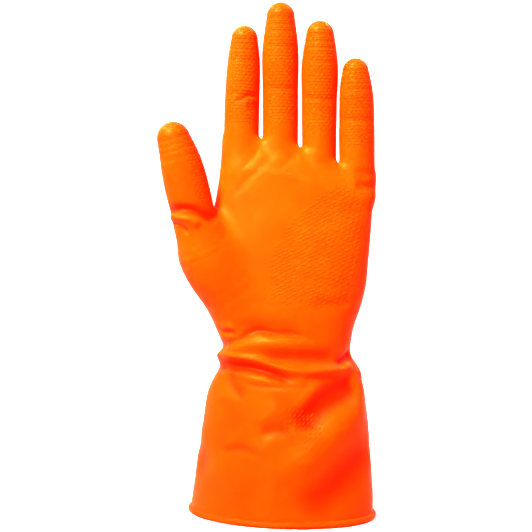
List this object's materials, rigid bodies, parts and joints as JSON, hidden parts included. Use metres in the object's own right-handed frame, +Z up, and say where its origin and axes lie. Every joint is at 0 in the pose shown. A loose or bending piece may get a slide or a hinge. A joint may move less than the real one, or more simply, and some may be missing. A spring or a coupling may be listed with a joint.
{
  "type": "rubber glove",
  "caption": "Left-hand household rubber glove, moulded open with fingers up, a gathered wrist, a flared cuff with a rolled bead and a flock lining.",
  "frame": {"origin": "centre of the cuff's mouth, on the plane that its rolled bead rests on", "axes": "+Z up, from the cuff to the finger tips; -Y out of the palm; +X towards the little finger"},
  "size_m": [0.1279, 0.0738, 0.303],
  "materials": {
    "orange_latex": "satin",
    "cotton_flock": "matt, short fibres"
  },
  "bodies": {
    "cuff": {"cuff_bead": "orange_latex", "cuff_shell": "orange_latex", "cuff_lining": "cotton_flock"},
    "wrist": {"wrist_shell": "orange_latex", "wrist_lining": "cotton_flock"},
    "hand": {"hand_shell": "orange_latex", "hand_lining": "cotton_flock"},
    "index_base": {"index_base_shell": "orange_latex", "index_base_lining": "cotton_flock"},
    "index_middle": {"index_middle_shell": "orange_latex", "index_middle_lining": "cotton_flock"},
    "index_tip": {"index_tip_shell": "orange_latex", "index_tip_lining": "cotton_flock"},
    "middle_base": {"middle_base_shell": "orange_latex", "middle_base_lining": "cotton_flock"},
    "middle_middle": {"middle_middle_shell": "orange_latex", "middle_middle_lining": "cotton_flock"},
    "middle_tip": {"middle_tip_shell": "orange_latex", "middle_tip_lining": "cotton_flock"},
    "ring_base": {"ring_base_shell": "orange_latex", "ring_base_lining": "cotton_flock"},
    "ring_middle": {"ring_middle_shell": "orange_latex", "ring_middle_lining": "cotton_flock"},
    "ring_tip": {"ring_tip_shell": "orange_latex", "ring_tip_lining": "cotton_flock"},
    "pinky_base": {"pinky_base_shell": "orange_latex", "pinky_base_lining": "cotton_flock"},
    "pinky_middle": {"pinky_middle_shell": "orange_latex", "pinky_middle_lining": "cotton_flock"},
    "pinky_tip": {"pinky_tip_shell": "orange_latex", "pinky_tip_lining": "cotton_flock"},
    "thumb_base": {"thumb_base_shell": "orange_latex", "thumb_base_lining": "cotton_flock"},
    "thumb_tip": {"thumb_tip_shell": "orange_latex", "thumb_tip_lining": "cotton_flock"}
  },
  "joints": [
    {"name": "wrist_extension", "type": "hinge", "parent": "cuff", "child": "wrist", "pos_m": [0.0046, 0.0275, 0.084], "axis": [-1, 0, 0], "range_deg": [0, 40], "stiffness_Nm_per_rad": 0.4},
    {"name": "wrist_flexion", "type": "hinge", "parent": "wrist", "child": "hand", "pos_m": [0.003, -0.0255, 0.098], "axis": [1, 0, 0], "range_deg": [0, 45], "stiffness_Nm_per_rad": 0.4},
    {"name": "index_base_bend", "type": "hinge", "parent": "hand", "child": "index_base", "pos_m": [-0.02312, -0.01059, 0.22905], "axis": [0.9993, 0, -0.038], "range_deg": [0, 70], "stiffness_Nm_per_rad": 0.02},
    {"name": "index_middle_bend", "type": "hinge", "parent": "index_base", "child": "index_middle", "pos_m": [-0.02241, -0.01097, 0.24757], "axis": [0.9993, 0, -0.038], "range_deg": [0, 80], "stiffness_Nm_per_rad": 0.012},
    {"name": "index_tip_bend", "type": "hinge", "parent": "index_middle", "child": "index_tip", "pos_m": [-0.02163, -0.01316, 0.26778], "axis": [0.9993, 0, -0.038], "range_deg": [0, 50], "stiffness_Nm_per_rad": 0.006},
    {"name": "middle_base_bend", "type": "hinge", "parent": "hand", "child": "middle_base", "pos_m": [-0.0004, -0.01069, 0.22844], "axis": [1, 0, 0], "range_deg": [0, 70], "stiffness_Nm_per_rad": 0.02},
    {"name": "middle_middle_bend", "type": "hinge", "parent": "middle_base", "child": "middle_middle", "pos_m": [-0.0004, -0.01141, 0.25109], "axis": [1, 0, 0], "range_deg": [0, 80], "stiffness_Nm_per_rad": 0.012},
    {"name": "middle_tip_bend", "type": "hinge", "parent": "middle_middle", "child": "middle_tip", "pos_m": [-0.0004, -0.01436, 0.27578], "axis": [1, 0, 0], "range_deg": [0, 50], "stiffness_Nm_per_rad": 0.006},
    {"name": "ring_base_bend", "type": "hinge", "parent": "hand", "child": "ring_base", "pos_m": [0.0226, -0.01059, 0.22445], "axis": [1, 0, 0], "range_deg": [0, 70], "stiffness_Nm_per_rad": 0.02},
    {"name": "ring_middle_bend", "type": "hinge", "parent": "ring_base", "child": "ring_middle", "pos_m": [0.0226, -0.01118, 0.24475], "axis": [1, 0, 0], "range_deg": [0, 80], "stiffness_Nm_per_rad": 0.012},
    {"name": "ring_tip_bend", "type": "hinge", "parent": "ring_middle", "child": "ring_tip", "pos_m": [0.0226, -0.01378, 0.26687], "axis": [1, 0, 0], "range_deg": [0, 50], "stiffness_Nm_per_rad": 0.006},
    {"name": "pinky_base_bend", "type": "hinge", "parent": "hand", "child": "pinky_base", "pos_m": [0.04561, -0.01009, 0.21547], "axis": [0.9998, 0, 0.021], "range_deg": [0, 70], "stiffness_Nm_per_rad": 0.02},
    {"name": "pinky_middle_bend", "type": "hinge", "parent": "pinky_base", "child": "pinky_middle", "pos_m": [0.04526, -0.01038, 0.23234], "axis": [0.9998, 0, 0.021], "range_deg": [0, 80], "stiffness_Nm_per_rad": 0.012},
    {"name": "pinky_tip_bend", "type": "hinge", "parent": "pinky_middle", "child": "pinky_tip", "pos_m": [0.04487, -0.01231, 0.25074], "axis": [0.9998, 0, 0.021], "range_deg": [0, 50], "stiffness_Nm_per_rad": 0.006},
    {"name": "thumb_base_bend", "type": "hinge", "parent": "hand", "child": "thumb_base", "pos_m": [-0.04691, -0.02332, 0.18145], "axis": [0.7612, 0.6122, 0.2141], "range_deg": [0, 20], "stiffness_Nm_per_rad": 0.02},
    {"name": "thumb_tip_bend", "type": "hinge", "parent": "thumb_base", "child": "thumb_tip", "pos_m": [-0.0526, -0.02499, 0.20655], "axis": [0.7612, 0.6122, 0.2141], "range_deg": [0, 40], "stiffness_Nm_per_rad": 0.012}
  ]
}
